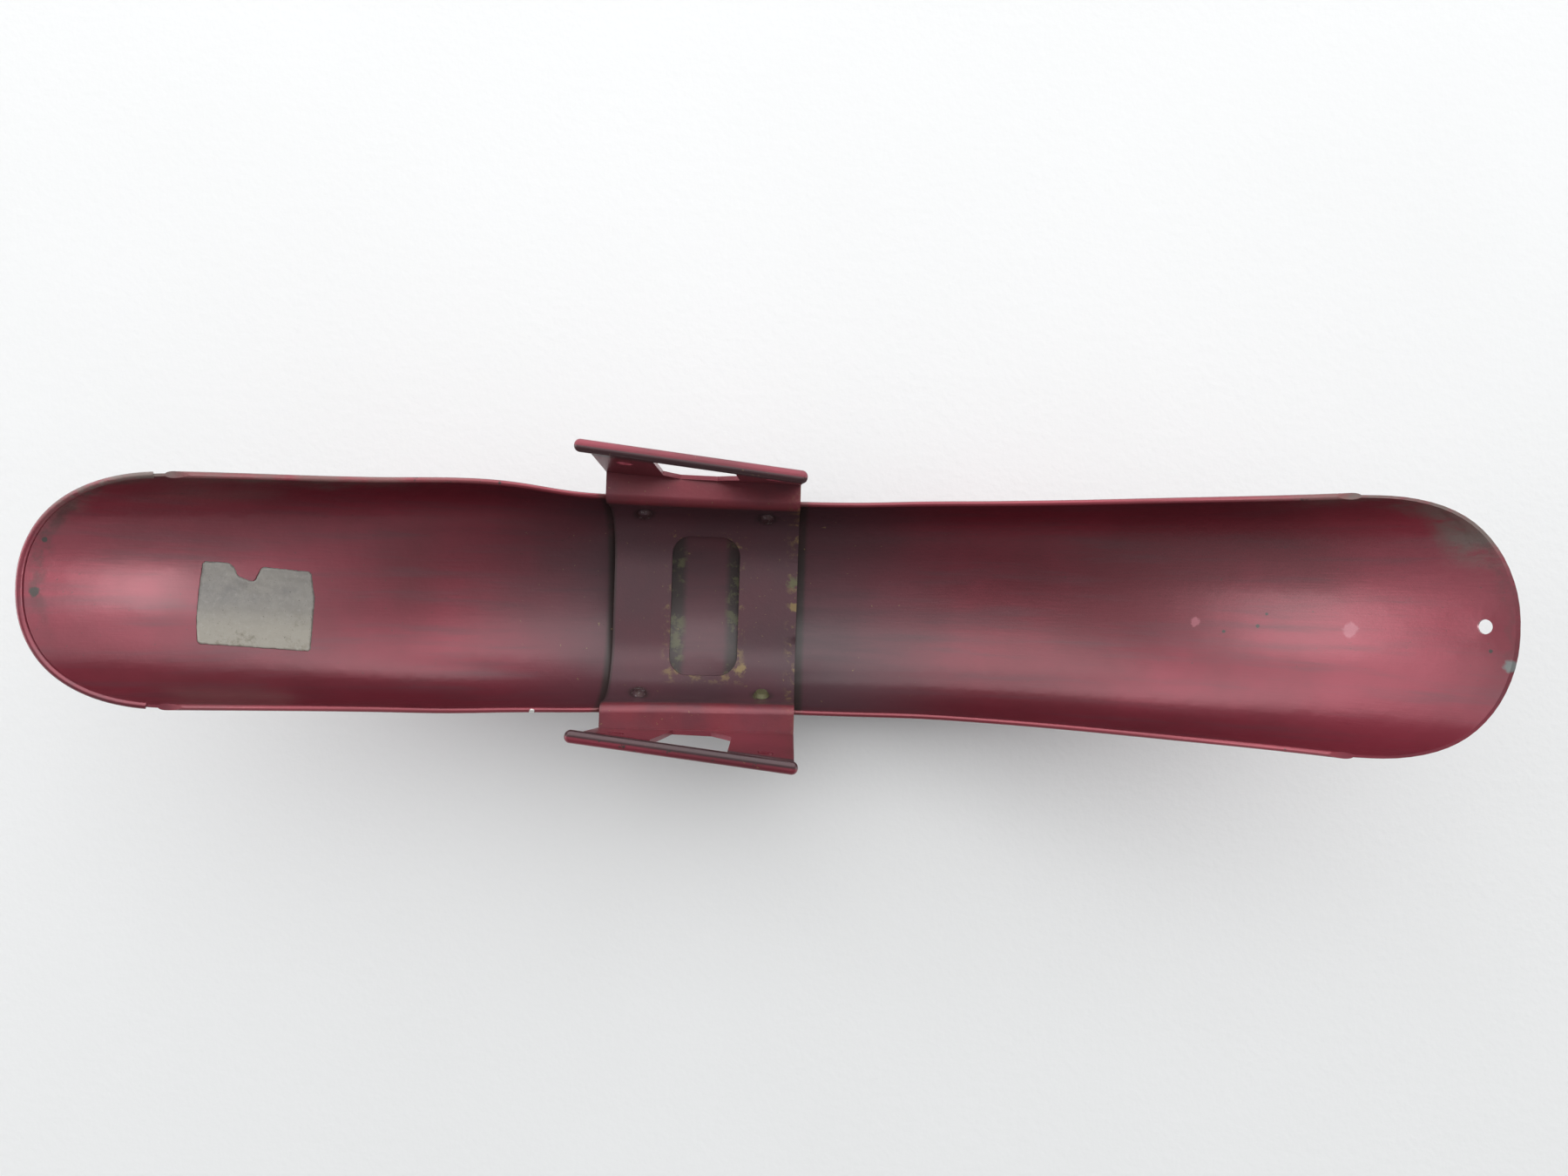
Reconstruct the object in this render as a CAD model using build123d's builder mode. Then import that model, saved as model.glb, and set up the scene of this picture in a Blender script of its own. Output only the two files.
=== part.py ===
from build123d import *
import math
import os

# Front mudguard of a motorcycle, lying on its crown with the open, wheel side up.
# Millimetres. +Z points up towards the wheel axle, +X to the rear tip, +Y to the left side.

# ---- mudguard shell ----
crown_radius = 352.0        # wheel axle to the outside of the crown
side_depth = 45.0           # crown to rim
sheet = 1.2                 # shell thickness
section_power = 2.3         # 2 is an ellipse, more is squarer
front_tip_angle = -65.4     # degrees round the axle from the lowest point
rear_tip_angle = 63.5
station_step = 6.0
# angle, half width at the rim, sideways set of the centre line
waist = (
    (-71.0, 44.0, 0.0),
    (-58.5, 50.5, 0.2),
    (-43.5, 56.2, 0.0),
    (-30.0, 60.4, 0.5),
    (-21.0, 59.0, -1.6),
    (4.0, 59.0, -1.6),
    (16.0, 59.3, -0.2),
    (36.0, 59.8, 0.2),
    (54.0, 58.4, 0.6),
    (69.0, 57.0, 1.0),
)
# side view of each tip: height above the crown, distance back from the tip
nose_cut = (
    (-2.0, -1.2),
    (1.6, 1.8),
    (11.4, 8.2),
    (22.2, 15.7),
    (34.0, 24.6),
    (42.2, 33.5),
    (45.0, 41.5),
    (47.0, 52.0),
)
tail_cut = (
    (-2.0, -1.2),
    (1.4, 2.5),
    (6.5, 6.7),
    (17.3, 14.8),
    (27.1, 23.5),
    (35.7, 33.0),
    (42.0, 44.5),
    (45.0, 53.0),
    (47.0, 62.0),
)
hem_radius = 1.5            # rolled edge round the rims and the nose
nose_hem_step = 9.0
tip_hole_diameter = 6.5
tip_hole_angle = 61.0
tip_hole_side = 2.2

# ---- fork bracket ----
bracket_sheet = 2.4
bracket_front = -98.3
bracket_rear = 7.4
bracket_set = -1.6          # sideways, with the pinched waist of the shell
saddle_front_angle = -21.0
saddle_sweep = 25.0         # degrees of arc covered before the ends are squared
# side and height of the middle of the sheet, from the raised floor up the wall
saddle_line = (
    (0.0, 9.5),
    (18.0, 9.6),
    (31.0, 10.8),
    (40.5, 14.8),
    (46.5, 19.0),
    (50.0, 22.9),
    (53.0, 28.6),
    (54.8, 35.0),
    (55.3, 40.0),
    (55.4, 44.0),
)
flare_height = 48.4
flare_bend = 4.0
slot_width = 39.4
slot_length = 81.0
slot_back = -46.4           # middle of the slot from the axle
slot_set = -0.8
slot_corner = 11.0
ear_half_gap = 69.15        # centre line to the inner face of an ear
ear_foot = 44.0             # hidden lower end, trimmed under the flare
ear_top = 115.5
lip_top = 118.5
lip_width = 6.5
lip_height = 5.0
lip_front = 9.0             # how far the lip runs past the front edge of the ear
lip_rear = 2.5
ear_twist = -6.35           # degrees, the tops of both ears are turned clockwise
left_window = ((-67.3, 116.0), (-67.3, 68.0), (-59.0, 56.0), (-38.5, 56.0), (-26.0, 69.0), (-26.0, 116.0))
right_window = ((-66.0, 116.0), (-59.3, 56.0), (-38.0, 56.0), (-26.0, 69.0), (-26.0, 116.0))
fork_bolt_hole = 8.5
fork_bolts = ((-84.0, 98.0), (-7.0, 104.0))

# ---- rivets and label ----
rivet_head = 9.0
rivet_head_height = 2.2
rivet_foot_height = 1.4
rivet_shank = 4.8
rivet_hole = 5.0
rivet_angles = (-14.4, -2.0)
rivet_side = 52.2           # middle of the sheet where a rivet goes through
rivet_height = 26.7
rivet_slope = 63.8          # degrees the saddle wall leans there
rivet_inside = 1.6          # from the middle of the sheet to the inner head
rivet_outside = 3.2         # and to the outer head
label_thickness = 0.3
label_gap = 0.02
label_middle_angle = -48.34
# distance back from the middle, side: the left edge has a torn notch
label_outline = (
    (-25.0, 13.8),
    (-12.6, 13.4),
    (-9.4, 10.6),
    (-8.4, 7.2),
    (-1.4, 4.6),
    (0.4, 5.0),
    (3.3, 12.0),
    (28.0, 10.3),
    (30.4, -3.6),
    (29.0, -18.9),
    (27.0, -30.0),
    (-28.0, -25.3),
    (-27.3, -13.2),
)

# ---- frame: the bounding box is centred over the origin ----
axle_x = 2.6
centre_y = 1.1


def follow(rows, at, column):
    """Smooth value of a column where the first column is `at`, with no overshoot."""
    slopes = []
    for i, row in enumerate(rows):
        if i in (0, len(rows) - 1):
            near = rows[1] if i == 0 else rows[-2]
            slopes.append((near[column] - row[column]) / (near[0] - row[0]))
            continue
        before = (row[column] - rows[i - 1][column]) / (row[0] - rows[i - 1][0])
        after = (rows[i + 1][column] - row[column]) / (rows[i + 1][0] - row[0])
        slopes.append(0.0 if before * after <= 0 else 2 * before * after / (before + after))
    i = 0
    while i < len(rows) - 2 and at > rows[i + 1][0]:
        i += 1
    span = rows[i + 1][0] - rows[i][0]
    t = (at - rows[i][0]) / span
    level = (1 - t) ** 2 * (1 + 2 * t) * rows[i][column] + t ** 2 * (3 - 2 * t) * rows[i + 1][column]
    return level + span * t * (1 - t) * ((1 - t) * slopes[i] - t * slopes[i + 1])


def half_width(angle):
    return follow(waist, angle, 1)


def side_set(angle):
    return centre_y + follow(waist, angle, 2)


def spot(angle, side, height):
    """Point at an angle round the axle, a distance to the side, and a height above the crown."""
    a = math.radians(angle)
    r = crown_radius - height
    return Vector(axle_x + r * math.sin(a), side, crown_radius - r * math.cos(a))


def section_plane(angle):
    """Plane across the guard. Local x is the side, local y is towards the axle."""
    a = math.radians(angle)
    return Plane(origin=spot(angle, 0, 0), x_dir=(0, 1, 0), z_dir=(math.cos(a), 0, math.sin(a)))


def crown_plane(angle):
    """Plane on the crown, looking at the axle. Local x runs back along the guard."""
    a = math.radians(angle)
    return Plane(
        origin=spot(angle, 0, 0),
        x_dir=(math.cos(a), 0, math.sin(a)),
        z_dir=(-math.sin(a), 0, math.cos(a)),
    )


def bowl(angle, inset, turn):
    """Side and height of the shell's profile at a turn from the crown, inset from the outside."""
    t = math.radians(turn)
    side = math.copysign(abs(math.sin(t)) ** (2 / section_power), t)
    drop = abs(math.cos(t)) ** (2 / section_power)
    return (
        side_set(angle) + (half_width(angle) - inset) * side,
        side_depth - (side_depth - inset) * drop,
    )


def rim_turn():
    """Turn at which the rolled edge starts."""
    start = side_depth - hem_radius - math.sqrt(hem_radius ** 2 - sheet ** 2 / 4)
    return math.degrees(math.acos(((side_depth - start) / side_depth) ** (section_power / 2)))


def band(angle, outer, inner, reach, bead=False):
    """Closed strip between two insets of the profile, out to the given turn each side."""
    turns = [reach * i / 9 for i in range(-9, 10)]
    with BuildLine() as strip:
        low = Spline(*[bowl(angle, outer, turn) for turn in turns])
        high = Spline(*[bowl(angle, inner, turn) for turn in turns])
        for end, hand in ((0, -1), (1, 1)):
            if bead:
                side = side_set(angle) + hand * (half_width(angle) - sheet / 2)
                ThreePointArc(low @ end, (side, side_depth), high @ end)
            else:
                Line(low @ end, high @ end)
    make_face(strip.edges())


def cut_angle(cut, tip, height):
    """Angle round the axle of a tip's side outline at a height."""
    back = math.degrees(math.asin(follow(cut, height, 1) / (crown_radius - height)))
    return tip + math.copysign(back, -tip) * (1 if follow(cut, height, 1) >= 0 else -1)


def tip_waste(cut, tip):
    """Side view of everything beyond the outline of a tip."""
    edge_points = []
    for i in range(25):
        height = cut[0][0] + (cut[-1][0] - cut[0][0]) * i / 24
        edge_points.append(spot(cut_angle(cut, tip, height), 0, height))
    beyond = tip + math.copysign(12, tip)
    inside = cut_angle(cut, tip, cut[-1][0])
    corners = [spot(a, 0, height) for a, height in ((inside, 90), (beyond, 90), (beyond, -30), (tip, -30))]
    with BuildLine() as fence:
        edge = Spline(*[(p.X, p.Z) for p in edge_points])
        Polyline(edge @ 1, *[(c.X, c.Z) for c in corners], edge @ 0)
    make_face(fence.edges())


def nose_line():
    """The cut edge of the nose, from the bead on one rim round to the other."""
    line = []
    for i in range(-300, 301):
        turn = -85 * abs(i / 300) ** 0.7 * (1 if i > 0 else -1)
        angle = front_tip_angle
        for _ in range(4):
            side, height = bowl(angle, sheet / 2, turn)
            angle = cut_angle(nose_cut, front_tip_angle, height)
        line.append(spot(angle, side, height))
    kept = [line[0]]
    for point in line[1:-1]:
        if min((point - kept[-1]).length, 2 * (point - line[-1]).length) >= nose_hem_step:
            kept.append(point)
    return kept + [line[-1]]


def ear_plane(hand):
    """Level plane turned with the twist of an ear's top. Local x runs along the lip."""
    turn = math.radians(ear_twist)
    return Plane(
        origin=(
            axle_x + (bracket_front + bracket_rear) / 2,
            centre_y + bracket_set + hand * (ear_half_gap + bracket_sheet / 2),
            0,
        ),
        x_dir=(math.cos(turn), math.sin(turn), 0),
        z_dir=(0, 0, 1),
    )


def rivet_plane(angle, hand):
    """Plane in the saddle wall at a rivet, looking along the rivet into the guard."""
    a = math.radians(angle)
    lean = math.radians(rivet_slope)
    level = math.cos(lean)
    return Plane(
        origin=spot(angle, centre_y + bracket_set + hand * rivet_side, rivet_height),
        x_dir=(math.cos(a), 0, math.sin(a)),
        z_dir=(-math.sin(a) * level, -hand * math.sin(lean), math.cos(a) * level),
    )


# ---- rolled edge round the nose ----
with BuildPart() as nose_hem:
    with BuildLine() as edge_line:
        Spline(*nose_line())
    with BuildSketch(Plane(origin=edge_line.line @ 0, z_dir=edge_line.line % 0)):
        Circle(hem_radius)
    sweep()

# ---- mudguard shell: one deep pressing, rolled over at the rims and the nose ----
with BuildPart() as mudguard_shell:
    first = front_tip_angle - 4
    span = rear_tip_angle + 4 - first
    count = math.ceil(span / station_step)
    for i in range(count + 1):
        station = first + span * i / count
        with BuildSketch(section_plane(station)):
            band(station, 0, sheet, rim_turn(), bead=True)
    loft()
    with BuildSketch(Plane.XZ):
        tip_waste(nose_cut, front_tip_angle)
        tip_waste(tail_cut, rear_tip_angle)
    extrude(amount=90, both=True, mode=Mode.SUBTRACT)
    add(nose_hem.part)
    with BuildSketch(crown_plane(tip_hole_angle)):
        with Locations((0, tip_hole_side + centre_y)):
            Circle(tip_hole_diameter / 2)
    extrude(amount=10, both=True, mode=Mode.SUBTRACT)
    for angle in rivet_angles:
        for hand in (-1, 1):
            with BuildSketch(rivet_plane(angle, hand)):
                Circle(rivet_hole / 2)
            extrude(amount=6, both=True, mode=Mode.SUBTRACT)

# ---- lips: the rolled tops of the ears, a little longer than the ears ----
ear_length = bracket_rear - bracket_front
lips = []
for hand in (-1, 1):
    with BuildPart() as lip:
        with BuildSketch(ear_plane(hand).offset(lip_top - lip_height)):
            with Locations(((lip_rear - lip_front) / 2, hand * (lip_width - bracket_sheet) / 2)):
                RectangleRounded(ear_length + lip_front + lip_rear, lip_width, 3.0)
        extrude(amount=lip_height)
        fillet(lip.faces().sort_by(Axis.Z)[-1].edges(), 2.4)
        fillet(lip.faces().sort_by(Axis.Z)[0].edges(), 1.2)
    lips.append(lip.part)

# ---- fork bracket: saddle inside the crown, flared over the rims into two ears ----
middle = centre_y + bracket_set
axle = Axis((axle_x, 0, crown_radius), (0, -1, 0))
with BuildPart() as fork_bracket:
    rim_side, rim_height = saddle_line[-1]
    with BuildSketch(section_plane(saddle_front_angle)):
        for hand in (-1, 1):
            with BuildLine() as wall:
                Spline(
                    *[(middle + hand * side, height) for side, height in saddle_line],
                    tangents=((hand, 0), (0, 1)),
                )
                FilletPolyline(
                    (middle + hand * rim_side, rim_height),
                    (middle + hand * rim_side, flare_height),
                    (middle + hand * (ear_half_gap + bracket_sheet - 0.3), flare_height),
                    radius=flare_bend,
                )
            trace(wall.edges(), line_width=bracket_sheet)
    revolve(axis=axle, revolution_arc=saddle_sweep)
    for hand in (-1, 1):
        foot_plane = Plane(origin=ear_plane(hand).origin + Vector(0, 0, ear_foot))
        with BuildSketch(foot_plane) as foot:
            Rectangle(ear_length + 12, bracket_sheet)
        with BuildSketch(ear_plane(hand).offset(ear_top)) as head:
            Rectangle(ear_length + 12, bracket_sheet)
        loft(sections=[foot.sketch.faces()[0], head.sketch.faces()[0]], ruled=True)
    # clear the ears from under the flare
    with BuildSketch(section_plane(saddle_front_angle - 2)):
        for hand in (-1, 1):
            with Locations((middle + hand * 76, (flare_height - bracket_sheet / 2) / 2 - 5)):
                Rectangle(30, flare_height - bracket_sheet / 2 + 10.2)
    revolve(axis=axle, revolution_arc=saddle_sweep + 5, mode=Mode.SUBTRACT)
    with Locations((axle_x + (bracket_front + bracket_rear) / 2, 0, 60)):
        Box(ear_length, 200, 140, mode=Mode.INTERSECT)
    # slot in the floor of the saddle
    with BuildSketch(Plane.XY):
        with Locations((axle_x + slot_back, middle + slot_set)):
            RectangleRounded(slot_width, slot_length, slot_corner)
    extrude(amount=34, mode=Mode.SUBTRACT)
    # windows in the ears
    for hand, window in ((1, left_window), (-1, right_window)):
        with BuildSketch(Plane.XZ.offset(-hand * 50)):
            with BuildLine():
                Polyline(*[(axle_x + x, z) for x, z in window], close=True)
            make_face()
        extrude(amount=-hand * 45, mode=Mode.SUBTRACT)
    for part in lips:
        add(part)
    # fork bolt holes, in line through both ears
    with BuildSketch(Plane.XZ):
        with Locations(*[(axle_x + x, z) for x, z in fork_bolts]):
            Circle(fork_bolt_hole / 2)
    extrude(amount=100, both=True, mode=Mode.SUBTRACT)
    for angle in rivet_angles:
        for hand in (-1, 1):
            with BuildSketch(rivet_plane(angle, hand)):
                Circle(rivet_hole / 2)
            extrude(amount=6, both=True, mode=Mode.SUBTRACT)

# ---- rivets: domed inside, low heads outside ----
rivets = []
for angle, end in zip(rivet_angles, ("front", "rear")):
    for hand, side in ((1, "left"), (-1, "right")):
        seat = rivet_plane(angle, hand)
        with BuildPart() as rivet:
            with BuildSketch(seat.offset(-rivet_outside)):
                Circle(rivet_shank / 2)
            extrude(amount=rivet_outside + rivet_inside + 0.1)
            with BuildSketch(seat.offset(rivet_inside + 0.05)):
                Circle(rivet_head / 2)
            extrude(amount=rivet_head_height, taper=32)
            with BuildSketch(seat.offset(-rivet_outside)):
                Circle(rivet_head / 2)
            extrude(amount=-rivet_foot_height, taper=35)
        rivet.part.label = end + "_" + side + "_rivet"
        rivets.append(rivet.part)

# ---- foil label lying on the inside of the crown near the nose ----
with BuildPart() as foil_label:
    for i in range(5):
        station = label_middle_angle - 6 + 3 * i
        with BuildSketch(section_plane(station)):
            band(station, sheet + label_gap, sheet + label_gap + label_thickness, 55)
    loft()
    with BuildSketch(crown_plane(label_middle_angle)):
        with BuildLine():
            FilletPolyline(*[(x, centre_y + y) for x, y in label_outline], radius=1.5, close=True)
        make_face()
    extrude(amount=25, mode=Mode.INTERSECT)

os.makedirs("parts", exist_ok=True)
mudguard_shell.part.label = "mudguard_shell"
export_step(mudguard_shell.part, "parts/mudguard_shell.step")
fork_bracket.part.label = "fork_bracket"
export_step(fork_bracket.part, "parts/fork_bracket.step")
foil_label.part.label = "foil_label"
export_step(foil_label.part, "parts/foil_label.step")
for part in rivets:
    export_step(part, "parts/" + part.label + ".step")
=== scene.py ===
import math

import bmesh
import bpy
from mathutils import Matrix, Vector, geometry, noise


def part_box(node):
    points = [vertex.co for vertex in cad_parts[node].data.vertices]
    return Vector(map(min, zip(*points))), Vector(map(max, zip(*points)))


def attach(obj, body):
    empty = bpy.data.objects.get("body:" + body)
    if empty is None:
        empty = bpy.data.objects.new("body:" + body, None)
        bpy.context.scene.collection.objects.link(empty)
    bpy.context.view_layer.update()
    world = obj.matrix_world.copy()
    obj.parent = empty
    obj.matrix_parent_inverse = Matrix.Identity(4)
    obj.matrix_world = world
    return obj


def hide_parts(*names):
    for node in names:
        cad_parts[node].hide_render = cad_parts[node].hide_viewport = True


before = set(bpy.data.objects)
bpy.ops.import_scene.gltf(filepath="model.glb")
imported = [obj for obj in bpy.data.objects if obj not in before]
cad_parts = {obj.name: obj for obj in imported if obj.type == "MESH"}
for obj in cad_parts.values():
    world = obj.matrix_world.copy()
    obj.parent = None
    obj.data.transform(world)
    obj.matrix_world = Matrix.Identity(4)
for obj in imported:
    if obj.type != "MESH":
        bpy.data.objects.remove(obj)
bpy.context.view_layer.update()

# The guard's own measures, in metres and degrees, in the frame of the CAD model.
AXLE = Vector((0.0026, 0.0011, 0.352))      # wheel axle, over the middle of the crown
CROWN_RADIUS = 0.352
RIM_HEIGHT = 0.045
NOSE_ANGLE = -65.4
TAIL_ANGLE = 63.5
NOSE_RAKE = 0.72                            # how far the tips lean back, for each unit up the wall
TAIL_RAKE = 0.87
SADDLE_FRONT, SADDLE_REAR = -0.0957, 0.0100     # x of the bracket's front and rear edges
SLOT_MIDDLE = Vector((-0.0438, -0.0013))
SLOT_HALF = Vector((0.0197, 0.0405))
RIVETS = [end + "_" + hand + "_rivet" for end in ("front", "rear") for hand in ("left", "right")]
EAR_TWIST = -6.35                           # degrees, how far the lips are turned
EAR_SET = -0.0016                           # sideways set of the bracket
EAR_MIDDLE = 0.07035                        # centre line to the middle of an ear's sheet
EAR_CENTRE = -0.04285                       # x of the middle of the ears


# ---- material graphs ----
class Graph:
    """A material's nodes, made by short calls. Places come from object coordinates, in metres."""

    def __init__(self, name):
        self.material = bpy.data.materials.new(name)
        self.material.use_nodes = True
        self.nodes = self.material.node_tree.nodes
        self.links = self.material.node_tree.links
        self.shader = self.nodes["Principled BSDF"]
        self.point = self.nodes.new("ShaderNodeTexCoord").outputs["Object"]
        split = self.nodes.new("ShaderNodeSeparateXYZ")
        self.links.new(self.point, split.inputs[0])
        self.x, self.y, self.z = split.outputs

    def put(self, socket, value):
        """Links a socket or sets it to a constant."""
        if isinstance(value, bpy.types.NodeSocket):
            self.links.new(value, socket)
        elif isinstance(value, tuple) and len(value) == 3 and socket.type == "RGBA":
            socket.default_value = (*value, 1.0)
        else:
            socket.default_value = value

    def math(self, operation, a, b=0.0, c=0.0):
        node = self.nodes.new("ShaderNodeMath")
        node.operation = operation
        for socket, value in zip(node.inputs, (a, b, c)):
            self.put(socket, value)
        return node.outputs[0]

    def add(self, a, b):
        return self.math("ADD", a, b)

    def sub(self, a, b):
        return self.math("SUBTRACT", a, b)

    def mul(self, a, b):
        return self.math("MULTIPLY", a, b)

    def rise(self, value, low, high):
        """0 below low, 1 above high, smooth between; low above high makes it fall."""
        node = self.nodes.new("ShaderNodeMapRange")
        node.interpolation_type = "SMOOTHSTEP"
        flip = low > high
        self.put(node.inputs["Value"], value)
        node.inputs["From Min"].default_value = min(low, high)
        node.inputs["From Max"].default_value = max(low, high)
        node.inputs["To Min"].default_value = 1.0 if flip else 0.0
        node.inputs["To Max"].default_value = 0.0 if flip else 1.0
        return node.outputs["Result"]

    def between(self, value, low, high, soft):
        return self.mul(self.rise(value, low - soft, low + soft), self.rise(value, high + soft, high - soft))

    def vector(self, x, y, z):
        node = self.nodes.new("ShaderNodeCombineXYZ")
        for socket, value in zip(node.inputs, (x, y, z)):
            self.put(socket, value)
        return node.outputs[0]

    def noise(self, scale, detail=4.0, rough=0.55, where=None):
        node = self.nodes.new("ShaderNodeTexNoise")
        self.put(node.inputs["Vector"], where or self.point)
        node.inputs["Scale"].default_value = scale
        node.inputs["Detail"].default_value = detail
        node.inputs["Roughness"].default_value = rough
        return node.outputs["Fac"]

    def mix(self, amount, a, b):
        node = self.nodes.new("ShaderNodeMix")
        node.data_type = "RGBA"
        self.put(node.inputs["Factor"], amount)
        colours = [socket for socket in node.inputs if socket.type == "RGBA"]
        self.put(colours[0], a)
        self.put(colours[1], b)
        return next(socket for socket in node.outputs if socket.type == "RGBA")

    def blot(self, centre, radius, ragged=0.5, scale=400.0):
        """A ragged spot round a point in space."""
        gap = self.nodes.new("ShaderNodeVectorMath")
        gap.operation = "DISTANCE"
        self.put(gap.inputs[0], self.point)
        gap.inputs[1].default_value = centre
        wobble = self.mul(self.sub(self.noise(scale, 3.0), 0.5), 2.0 * ragged * radius)
        return self.rise(self.add(gap.outputs["Value"], wobble), radius, radius * 0.6)

    def bump(self, height, distance, strength=1.0):
        node = self.nodes.new("ShaderNodeBump")
        node.inputs["Distance"].default_value = distance
        node.inputs["Strength"].default_value = strength
        self.put(node.inputs["Height"], height)
        self.put(self.shader.inputs["Normal"], node.outputs["Normal"])

    def finish(self, colour, roughness, **sockets):
        self.put(self.shader.inputs["Base Color"], colour)
        self.put(self.shader.inputs["Roughness"], roughness)
        for name, value in sockets.items():
            self.put(self.shader.inputs[name.replace("_", " ").title()], value)
        return self.material

    def guard_places(self):
        """Arc length from the bottom, height above the crown, and side, each in metres."""
        back = self.sub(self.x, AXLE.x)
        down = self.sub(AXLE.z, self.z)
        turn = self.math("ARCTAN2", back, down)
        reach = self.math("SQRT", self.add(self.mul(back, back), self.mul(down, down)))
        self.along = self.mul(turn, CROWN_RADIUS)
        self.height = self.sub(CROWN_RADIUS, reach)
        self.side = self.sub(self.y, AXLE.y)
        self.lengthwise = self.vector(self.mul(self.along, 0.08), self.side, self.height)


WINE = (0.250, 0.026, 0.048)
DEEP_WINE = (0.150, 0.018, 0.030)
DULL_WINE = (0.093, 0.050, 0.061)
GRIME_AND_SHADE = (0.040, 0.032, 0.028)
PRIMER = (0.165, 0.150, 0.128)
CHIP_CREAM = (0.62, 0.55, 0.42)
WHITE_CHIP_AND_GLINT = (0.80, 0.78, 0.75)
BARE_METAL = (0.34, 0.33, 0.32)
GREY_CHIP = (0.150, 0.160, 0.155)
PAINTED_REFLECTION_PINK = (0.300, 0.085, 0.110)
MOSS = (0.16, 0.165, 0.075)
OCHRE = (0.30, 0.215, 0.09)
RIM_WEAR_AND_HIGHLIGHT_RED = (0.34, 0.03, 0.045)
BEND_HIGHLIGHT_RED = (0.30, 0.03, 0.04)
LIP_PAINTED_SHADE = (0.030, 0.021, 0.023)
RIVET_BROWN = (0.075, 0.040, 0.038)
FOIL_DARK = (0.205, 0.198, 0.190)
FOIL_GREY = (0.300, 0.288, 0.262)
FOIL_WARM = (0.375, 0.350, 0.290)
FOIL_BRIGHT = (0.46, 0.45, 0.42)
FOIL_STAIN = (0.110, 0.095, 0.060)
FOIL_PIT = (0.06, 0.05, 0.04)
TABLE_PALE = (0.86, 0.865, 0.865)
TABLE_DULL = (0.80, 0.805, 0.80)


def tip_distance(g, tip_angle, rake):
    """How far a point lies inside the raked edge of a tip."""
    tip = math.radians(tip_angle) * CROWN_RADIUS
    inward = g.sub(g.along, tip) if tip < 0 else g.sub(tip, g.along)
    return g.sub(inward, g.mul(g.height, rake))


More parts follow.
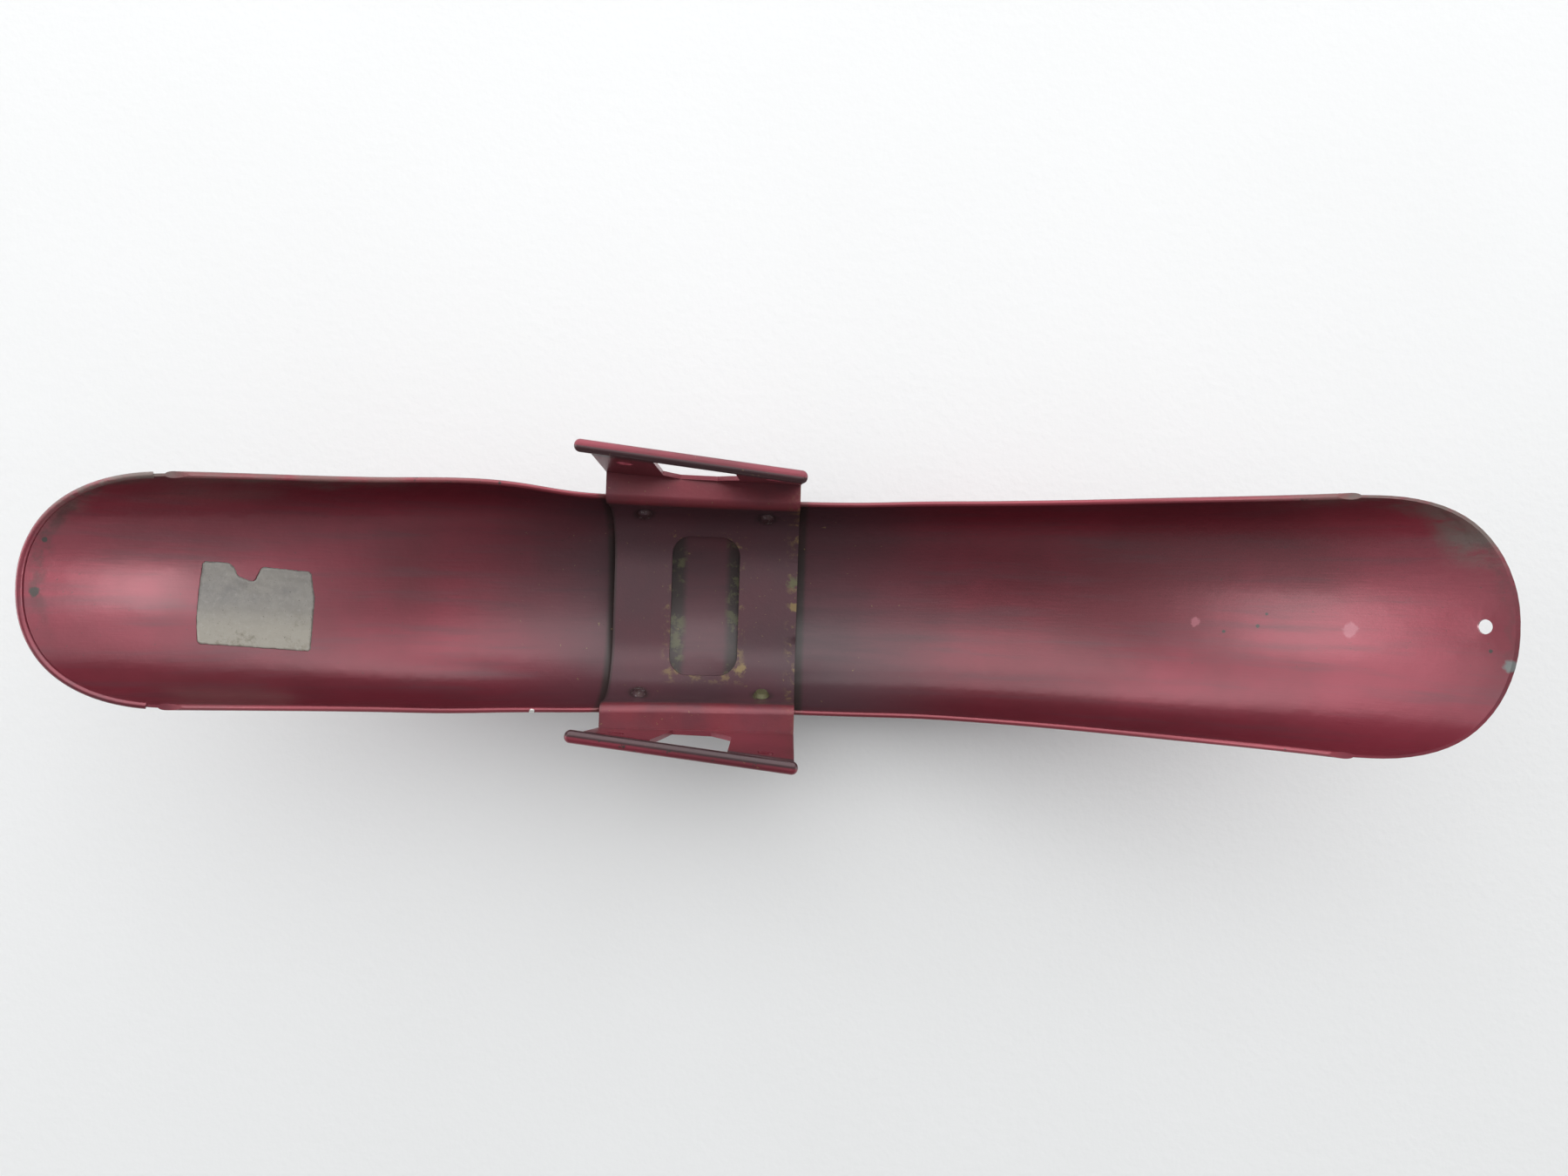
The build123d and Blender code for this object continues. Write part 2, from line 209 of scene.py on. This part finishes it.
def shell_paint():
    """Wine red candy paint, dull and grimy by the bracket and along the upper edges of the tips, with
    painted shade along the bracket's edges and beside its slot, a painted highlight along the rims and
    painted reflections on the rear crown.
    """
    g = Graph("worn_wine_paint")
    g.guard_places()
    cloud = g.noise(9.0, 5.0)
    streak = g.noise(150.0, 3.0, 0.6, g.lengthwise)
    fine = g.noise(900.0, 2.0, 0.6, g.lengthwise)
    colour = g.mix(g.rise(cloud, 0.3, 0.7), WINE, DEEP_WINE)
    colour = g.mix(g.mul(g.rise(streak, 0.45, 0.75), 0.35), colour, DULL_WINE)

    # road film fades the colour on both sides of the bracket
    film = g.between(g.along, -0.150, 0.075, 0.055)
    film = g.mul(film, g.rise(g.height, 0.046, 0.030))
    colour = g.mix(g.mul(film, g.add(0.55, g.mul(cloud, 0.45))), colour, DULL_WINE)
    # painted shade and dirt: the dark band along the bracket's front and rear edges stands for the shade in
    # the gap under them and for dirt, and the dark bands on the crown beside the slot are a painted shadow
    # of the slot's sides
    seam_front = g.between(g.x, SADDLE_FRONT - 0.0045, SADDLE_FRONT + 0.004, 0.0016)
    seam_rear = g.between(g.x, SADDLE_REAR - 0.004, SADDLE_REAR + 0.0045, 0.0016)
    under_slot = g.between(g.math("ABSOLUTE", g.sub(g.x, SLOT_MIDDLE.x)), 0.0125, 0.0260, 0.0025)
    under_slot = g.mul(under_slot, g.rise(g.height, 0.030, 0.015))
    seam = g.math("MAXIMUM", g.math("MAXIMUM", seam_front, seam_rear), under_slot)
    seam = g.mul(seam, g.rise(g.noise(120.0, 4.0), 0.15, 0.45))
    colour = g.mix(g.mul(seam, 0.85), colour, GRIME_AND_SHADE)
    moss = g.mul(under_slot, g.rise(g.noise(75.0, 5.0, 0.7), 0.52, 0.62))
    colour = g.mix(g.mul(moss, 0.6), colour, MOSS)

    # bare primer and dirt inside the edges of the tips, mostly on the left wall
    ragged = g.mul(g.sub(g.noise(55.0, 6.0, 0.65), 0.5), 0.030)
    nose = g.add(tip_distance(g, NOSE_ANGLE, NOSE_RAKE), ragged)
    tail = g.add(tip_distance(g, TAIL_ANGLE, TAIL_RAKE), ragged)
    left = g.rise(g.side, 0.020, 0.042)
    shelf = g.mul(g.between(g.along, -0.370, -0.215, 0.06), g.rise(g.add(g.height, ragged), 0.026, 0.037))
    primer = g.mul(g.math("MAXIMUM", g.rise(nose, 0.020, 0.004), g.rise(tail, 0.030, 0.008)), left)
    tail_shelf = g.mul(g.rise(g.along, 0.262, 0.330), g.rise(g.add(g.height, ragged), 0.024, 0.038))
    primer = g.math("MAXIMUM", primer, g.mul(g.math("MAXIMUM", shelf, tail_shelf), left))
    patchy = g.rise(g.noise(110.0, 6.0, 0.7, g.vector(g.mul(g.along, 0.4), g.side, g.height)), 0.30, 0.58)
    colour = g.mix(g.mul(g.mul(primer, patchy), 0.8), colour, PRIMER)
    nose_gutter = g.between(nose, 0.003, 0.010, 0.003)
    tail_gutter = g.mul(g.between(tail, 0.001, 0.004, 0.002), 0.6)
    gutter = g.math("MAXIMUM", nose_gutter, tail_gutter)
    gutter = g.mul(gutter, g.rise(g.noise(90.0, 5.0, 0.7), 0.35, 0.6))
    gutter = g.mul(gutter, g.rise(g.side, -0.030, 0.010))
    colour = g.mix(g.mul(gutter, 0.55), colour, GRIME_AND_SHADE)

    # specks of dirt, pin holes and edge wear; the lighter red along the top of the rims is partly wear and
    # partly a painted highlight
    specks = g.rise(g.noise(520.0, 2.0, 0.7), 0.70, 0.76)
    colour = g.mix(g.mul(specks, 0.6), colour, GRIME_AND_SHADE)
    crumbs = g.mul(g.rise(g.noise(330.0, 2.0, 0.6), 0.72, 0.76), film)
    colour = g.mix(g.mul(crumbs, 0.6), colour, OCHRE)
    rim = g.rise(g.height, 0.0432, 0.0450)
    colour = g.mix(g.mul(rim, 0.35), colour, RIM_WEAR_AND_HIGHLIGHT_RED)
    nicks = g.mul(g.rise(g.height, 0.0425, 0.0445), g.rise(g.noise(160.0, 4.0, 0.7), 0.66, 0.72))
    colour = g.mix(nicks, colour, GRIME_AND_SHADE)
    # chips and dirt spots, and two painted reflections on the rear crown
    for centre, radius, shade in SHELL_CHIPS_AND_REFLECTIONS:
        colour = g.mix(g.blot(centre, radius), colour, shade)

    rough = g.add(0.30, g.mul(cloud, 0.10))
    rough = g.add(rough, g.mul(film, 0.22))
    rough = g.add(rough, g.mul(g.mul(primer, patchy), 0.30))
    rough = g.add(rough, g.mul(g.rise(streak, 0.4, 0.8), 0.10))
    relief = g.add(g.mul(fine, 0.5), g.mul(g.noise(420.0, 3.0), 0.5))
    g.bump(g.sub(relief, g.mul(primer, patchy)), 0.00012)
    return g.finish(colour, rough, Metallic=0.6, Coat_weight=0.9, Coat_roughness=0.26)


def tip_point(angle, side, height):
    """Point at an angle round the axle, in the guard's own measures."""
    a = math.radians(angle)
    reach = CROWN_RADIUS - height
    return (AXLE.x + reach * math.sin(a), AXLE.y + side, AXLE.z - reach * math.cos(a))


SHELL_CHIPS_AND_REFLECTIONS = (
    (tip_point(61.5, -0.0083, 0.0014), 0.0011, GRIME_AND_SHADE),
    (tip_point(62.9, -0.0143, 0.0025), 0.0034, GREY_CHIP),
    (tip_point(-25.6, -0.0605, 0.0445), 0.0017, WHITE_CHIP_AND_GLINT),
    (tip_point(-17.4, 0.0572, 0.0448), 0.0015, CHIP_CREAM),
    (tip_point(-29.5, 0.0602, 0.0445), 0.0012, GRIME_AND_SHADE),
    (tip_point(-64.0, 0.0204, 0.0038), 0.0016, GRIME_AND_SHADE),
    (tip_point(-64.3, -0.0018, 0.0012), 0.0026, GRIME_AND_SHADE),
    (tip_point(43.8, -0.0023, 0.0012), 0.0013, GRIME_AND_SHADE),
    (tip_point(41.0, -0.0060, 0.0012), 0.0011, GRIME_AND_SHADE),
    (tip_point(44.5, 0.0040, 0.0012), 0.0010, GRIME_AND_SHADE),
    # the two pale pink spots on the rear crown are painted reflections
    (tip_point(51.2, -0.0021, 0.0012), 0.0042, PAINTED_REFLECTION_PINK),
    (tip_point(38.5, -0.0015, 0.0012), 0.0030, PAINTED_REFLECTION_PINK),
)


def bracket_paint():
    """Duller paint with dirt in the saddle, along the slot and in its corners, painted shade on the inner
    edge of the lips and painted highlights on the bend over the rims and on the lip ends.
    """
    g = Graph("dull_bracket_paint")
    g.guard_places()
    cloud = g.noise(16.0, 5.0)
    film = g.rise(g.height, 0.052, 0.045)
    colour = g.mix(g.rise(cloud, 0.3, 0.7), WINE, DEEP_WINE)
    colour = g.mix(g.mul(film, g.add(0.60, g.mul(cloud, 0.5))), colour, DULL_WINE)
    # the lighter red along the bend where the bracket turns over the rims is a painted highlight
    bend = g.mul(g.between(g.height, 0.044, 0.050, 0.003), g.rise(g.noise(40.0, 4.0), 0.3, 0.6))
    colour = g.mix(g.mul(bend, 0.5), colour, BEND_HIGHLIGHT_RED)

    # distance outside the slot, from its middle and its half size
    across = g.sub(g.math("ABSOLUTE", g.sub(g.x, SLOT_MIDDLE.x)), SLOT_HALF.x)
    sideways = g.sub(g.math("ABSOLUTE", g.sub(g.y, SLOT_MIDDLE.y)), SLOT_HALF.y)
    edge = g.math("MAXIMUM", across, sideways)
    dirt = g.noise(170.0, 6.0, 0.7)
    lower = g.rise(g.y, 0.030, -0.045)
    crust = g.mul(g.rise(edge, 0.0060, 0.0), g.rise(g.add(dirt, g.mul(lower, 0.09)), 0.56, 0.68))
    colour = g.mix(g.mul(crust, 0.6), colour, OCHRE)
    rear_edge = g.mul(g.rise(g.x, SADDLE_REAR - 0.008, SADDLE_REAR - 0.001), film)
    crust = g.mul(rear_edge, g.rise(g.noise(120.0, 6.0, 0.7), 0.50, 0.62))
    colour = g.mix(g.mul(crust, 0.7), colour, OCHRE)
    front_edge = g.mul(g.rise(g.x, SADDLE_FRONT + 0.0018, SADDLE_FRONT + 0.0004), film)
    colour = g.mix(g.mul(front_edge, 0.6), colour, GRIME_AND_SHADE)

    # dirt rings round the rivets, and painted shade on the inner edge of the lips
    for node in RIVETS:
        low, high = (Vector(corner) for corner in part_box(node))
        colour = g.mix(g.mul(g.blot((low + high) / 2, 0.0082, 0.35), 0.6), colour, GRIME_AND_SHADE)
    turn = math.radians(EAR_TWIST)
    for hand in (-1, 1):
        start = AXLE.y + EAR_SET + hand * EAR_MIDDLE
        across_lip = g.mul(g.sub(g.y, start), math.cos(turn))
        offset = g.sub(across_lip, g.mul(g.sub(g.x, EAR_CENTRE), math.sin(turn)))
        near_side = g.rise(g.mul(offset, hand), 0.0024, 0.0014)
        inner = g.mul(near_side, g.rise(g.mul(offset, hand), -0.004, -0.002))
        inner = g.mul(inner, g.rise(g.z, 0.109, 0.112))
        colour = g.mix(g.mul(inner, 0.85), colour, LIP_PAINTED_SHADE)
    specks = g.rise(g.noise(480.0, 2.0, 0.7), 0.69, 0.75)
    colour = g.mix(g.mul(specks, 0.55), colour, OCHRE)
    # chips and dirt spots, and painted highlights on the lip ends
    for centre, radius, shade in BRACKET_CHIPS_AND_GLINTS:
        colour = g.mix(g.mul(g.blot(centre, radius, 0.8), 0.85), colour, shade)

    # nicks along the lips; above the saddle, where there is no film, the paint keeps more gloss
    nicks = g.mul(g.rise(g.z, 0.112, 0.117), g.rise(g.noise(140.0, 4.0, 0.7), 0.64, 0.70))
    colour = g.mix(nicks, colour, GRIME_AND_SHADE)
    rough = g.add(g.add(0.34, g.mul(film, 0.22)), g.mul(cloud, 0.10))
    g.bump(g.add(g.mul(dirt, 0.6), g.mul(g.noise(700.0, 3.0), 0.4)), 0.00018)
    return g.finish(colour, rough, Metallic=0.45, Coat_weight=0.55, Coat_roughness=0.30)


BRACKET_CHIPS_AND_GLINTS = (
    ((-0.0955, 0.0560, 0.0520), 0.0030, CHIP_CREAM),
    ((-0.0735, -0.0330, 0.0260), 0.0024, OCHRE),
    ((0.0085, -0.0005, 0.0110), 0.0030, OCHRE),
    ((0.0075, 0.0140, 0.0125), 0.0045, MOSS),
    ((-0.0100, -0.0540, 0.0270), 0.0055, MOSS),
    # the two white spots on the ends of the lips are painted highlights
    ((-0.0040, 0.0740, 0.1120), 0.0026, WHITE_CHIP_AND_GLINT),
    ((-0.0970, -0.0620, 0.1120), 0.0022, WHITE_CHIP_AND_GLINT),
    ((-0.0215, -0.0375, 0.0140), 0.0038, OCHRE),
)


def rivet_paint():
    """Painted rivet heads, rubbed on top and dirty round the foot."""
    g = Graph("rivet_paint")
    cloud = g.noise(300.0, 5.0, 0.65)
    colour = g.mix(g.rise(cloud, 0.35, 0.70), RIVET_BROWN, DULL_WINE)
    colour = g.mix(g.mul(g.rise(g.noise(700.0, 3.0), 0.55, 0.68), 0.6), colour, BARE_METAL)
    stain = g.blot((-0.0102, -0.0525, 0.0290), 0.0090, 0.4)
    colour = g.mix(g.mul(stain, 0.75), colour, MOSS)
    g.bump(cloud, 0.00025)
    return g.finish(colour, g.add(0.38, g.mul(cloud, 0.25)), Metallic=0.45)


def foil_finish():
    """Grey foil, oxidised in blotches, warmer and stained towards one side, with fine bright grain and dark
    pits.
    """
    g = Graph("aged_foil")
    g.guard_places()
    blotch = g.noise(60.0, 6.0, 0.7)
    grain = g.noise(520.0, 4.0, 0.7)
    colour = g.mix(g.rise(blotch, 0.30, 0.68), FOIL_DARK, FOIL_GREY)
    low_side = g.rise(g.add(g.side, g.mul(blotch, 0.012)), 0.004, -0.016)
    colour = g.mix(g.mul(low_side, 0.6), colour, FOIL_WARM)
    colour = g.mix(g.mul(g.rise(grain, 0.50, 0.80), 0.3), colour, FOIL_BRIGHT)
    stain = g.mul(g.rise(g.side, -0.004, -0.026), g.rise(g.noise(85.0, 6.0, 0.75), 0.52, 0.66))
    colour = g.mix(g.mul(stain, 0.55), colour, FOIL_STAIN)
    pits = g.rise(g.noise(900.0, 2.0, 0.7), 0.66, 0.72)
    colour = g.mix(g.mul(pits, 0.6), colour, FOIL_PIT)
    g.bump(g.add(g.mul(blotch, 0.7), g.mul(grain, 0.3)), 0.0003)
    return g.finish(colour, g.add(0.38, g.mul(blotch, 0.25)), Metallic=0.55)


def table_finish():
    """Pale board with a faint unevenness."""
    g = Graph("pale_table")
    tone = g.noise(3.0, 5.0)
    colour = g.mix(tone, TABLE_PALE, TABLE_DULL)
    g.bump(g.noise(180.0, 3.0), 0.0002)
    return g.finish(colour, 0.45)


def dress(name, material):
    """Gives a CAD node its finished material."""
    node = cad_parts[name]
    node.data.materials.clear()
    node.data.materials.append(material)
    return node


# ---- the foil label, creased and torn, in place of its plain CAD skin ----
LABEL_ANGLE = -48.34
LABEL_OUTLINE = (                           # back along the crown and to the left, in metres
    (-0.0250, 0.0138), (-0.0126, 0.0134), (-0.0094, 0.0106), (-0.0084, 0.0072), (-0.0014, 0.0046),
    (0.0004, 0.0050), (0.0033, 0.0120), (0.0280, 0.0103), (0.0304, -0.0036), (0.0290, -0.0189),
    (0.0270, -0.0300), (-0.0280, -0.0253), (-0.0273, -0.0132),
)
FOIL_THICKNESS = 0.00022
FOIL_STEP = 0.0011                          # spacing of the foil mesh
ROW_STEP = 0.87                             # rows of triangles lie this much closer
CLEAR_OF_EDGE = 0.7                         # of a step, between inner points and the edge
TEAR = 0.00025                              # raggedness of the torn edge
TEAR_SCALE = 900
CORNER_CUT = 0.0011


def on_the_crown(back, side, lift):
    """The point over the inside of the shell, a distance back from the label's middle and to the side."""
    turn = math.radians(LABEL_ANGLE) + back / CROWN_RADIUS
    outward = Vector((math.sin(turn), 0.0, -math.cos(turn)))
    start = Vector((AXLE.x, AXLE.y + side, AXLE.z)) + outward * (CROWN_RADIUS - RIM_HEIGHT)
    _, place, *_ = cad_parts["mudguard_shell"].ray_cast(start, outward)
    return place - outward * lift


def torn_edge(outline, step, jitter):
    """The outline with rounded corners, in short steps with a slightly ragged line."""
    rounded = []
    for before, corner, after in zip(outline[-1:] + outline[:-1], outline, outline[1:] + outline[:1]):
        corner = Vector(corner)
        for side in (before, after):
            arm = Vector(side) - corner
            rounded.append(corner + arm * min(0.35, CORNER_CUT / arm.length))
    outline = tuple(rounded)
    points = []
    for a, b in zip(outline, outline[1:] + outline[:1]):
        a, b = Vector(a), Vector(b)
        count = max(2, round((b - a).length / step))
        normal = Vector((a.y - b.y, b.x - a.x)).normalized()
        for i in range(count):
            point = a.lerp(b, i / count)
            push = noise.noise(Vector((point.x * TEAR_SCALE, point.y * TEAR_SCALE, 3.0))) if i else 0.0
            points.append(point + normal * push * jitter)
    return points


def foil_wrinkle(u, v):
    """Creases of the foil: lengthwise folds, small dents and a lifted torn corner."""
    fold = 0.00016 * noise.noise(Vector((u * 60, v * 320, 0.0)))
    dent = 0.00010 * noise.noise(Vector((u * 380, v * 380, 7.0)))
    crease = -0.00012 * math.exp(-((v + 0.45 * u - 0.004) / 0.0008) ** 2)
    lift = 0.0006 * math.exp(-(((u + 0.0030) / 0.0050) ** 2 + ((v - 0.0070) / 0.0040) ** 2))
    return 0.00030 + fold + dent + crease + lift


def make_foil():
    edge = torn_edge(LABEL_OUTLINE, FOIL_STEP, TEAR)
    count = len(edge)
    inside = []
    low_u, high_u = min(p.x for p in edge), max(p.x for p in edge)
    low_v, high_v = min(p.y for p in edge), max(p.y for p in edge)
    row = 0
    v = low_v + FOIL_STEP
    while v < high_v:
        u = low_u + FOIL_STEP * (1.5 if row % 2 else 1.0)
        while u < high_u:
            here = Vector((u, v))
            if min((here - p).length for p in edge) > CLEAR_OF_EDGE * FOIL_STEP:
                inside.append(here)
            u += FOIL_STEP
        v += FOIL_STEP * ROW_STEP
        row += 1
    loop = [(i, (i + 1) % count) for i in range(count)]
    flat, _, faces, *_ = geometry.delaunay_2d_cdt(edge + inside, loop, [list(range(count))], 1, 1e-6)
    mesh = bmesh.new()
    verts = [mesh.verts.new(on_the_crown(p.x, p.y, foil_wrinkle(p.x, p.y))) for p in flat]
    for face in faces:
        mesh.faces.new([verts[i] for i in face])
    bmesh.ops.recalc_face_normals(mesh, faces=mesh.faces[:])
    if sum((AXLE - f.calc_center_median()).dot(f.normal) for f in mesh.faces) < 0:
        bmesh.ops.reverse_faces(mesh, faces=mesh.faces[:])
    data = bpy.data.meshes.new("creased_foil_label")
    mesh.to_mesh(data)
    mesh.free()
    for polygon in data.polygons:
        polygon.use_smooth = True
    piece = bpy.data.objects.new("creased_foil_label", data)
    bpy.context.scene.collection.objects.link(piece)
    solid = piece.modifiers.new("thickness", "SOLIDIFY")
    solid.thickness = FOIL_THICKNESS
    solid.offset = -1.0
    return piece


# ---- the finished pieces ----
dress("mudguard_shell", shell_paint())
dress("fork_bracket", bracket_paint())
rivet_finish = rivet_paint()
for node in RIVETS:
    dress(node, rivet_finish)
foil = make_foil()
foil.data.materials.append(foil_finish())
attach(foil, "root")
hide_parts("foil_label")

# ---- floor, light and camera ----
FLOOR_SIZE = 12.0
HORIZON_SKY, ZENITH_SKY = 1.45, 0.40        # strength of the room's light from low and from high up
LEFT_SKY = 0.85                             # how much stronger it is from the left side
CAMERA_PLACE = (0.0023, 0.0107, 0.671)
CAMERA_TURN = 1.79                          # degrees round the vertical
CAMERA_LENS = 25.66

bpy.ops.mesh.primitive_plane_add(size=FLOOR_SIZE, location=(0.0, 0.0, 0.0))
floor = bpy.context.object
floor.name = "table_top"
floor.data.materials.append(table_finish())

world = bpy.data.worlds.new("room")
bpy.context.scene.world = world
world.use_nodes = True
sky = world.node_tree.nodes["Background"]
direction = world.node_tree.nodes.new("ShaderNodeTexCoord").outputs["Generated"]
parts = world.node_tree.nodes.new("ShaderNodeSeparateXYZ")
world.node_tree.links.new(direction, parts.inputs[0])
ramp = world.node_tree.nodes.new("ShaderNodeMapRange")
ramp.interpolation_type = "SMOOTHSTEP"
ramp.inputs["From Min"].default_value = 0.15
ramp.inputs["From Max"].default_value = 0.75
ramp.inputs["To Min"].default_value = HORIZON_SKY
ramp.inputs["To Max"].default_value = ZENITH_SKY
world.node_tree.links.new(parts.outputs[2], ramp.inputs["Value"])
lean = world.node_tree.nodes.new("ShaderNodeMath")
lean.operation = "MULTIPLY_ADD"
lean.inputs[1].default_value = LEFT_SKY
lean.inputs[2].default_value = 1.0
world.node_tree.links.new(parts.outputs[1], lean.inputs[0])
strength = world.node_tree.nodes.new("ShaderNodeMath")
strength.operation = "MULTIPLY"
world.node_tree.links.new(ramp.outputs["Result"], strength.inputs[0])
world.node_tree.links.new(lean.outputs[0], strength.inputs[1])
world.node_tree.links.new(strength.outputs[0], sky.inputs["Strength"])
sky.inputs["Color"].default_value = (0.97, 0.985, 1.0, 1.0)


def area_light(name, place, target, width, depth, power):
    data = bpy.data.lights.new(name, "AREA")
    data.shape = "RECTANGLE"
    data.size, data.size_y = width, depth
    data.energy = power
    light = bpy.data.objects.new(name, data)
    light.location = place
    light.rotation_euler = (Vector(target) - Vector(place)).to_track_quat("-Z", "Y").to_euler()
    bpy.context.scene.collection.objects.link(light)


area_light("ceiling", (0.0, 1.0, 1.8), (0.0, 0.25, 0.0), 3.6, 1.8, 30.0)
area_light("far_right", (2.4, -0.03, 0.46), (0.0, 0.0, 0.1), 0.9, 0.35, 8.0)
area_light("far_left", (-2.4, 0.0, 1.05), (0.0, 0.0, 0.1), 1.3, 0.8, 9.5)

lens = bpy.data.cameras.new("camera")
lens.lens = CAMERA_LENS
lens.sensor_width = 36.0
lens.clip_start = 0.01
camera = bpy.data.objects.new("camera", lens)
camera.location = CAMERA_PLACE
camera.rotation_euler = (0.0, 0.0, math.radians(CAMERA_TURN))
bpy.context.scene.collection.objects.link(camera)
bpy.context.scene.camera = camera
bpy.context.scene.view_settings.view_transform = "Standard"
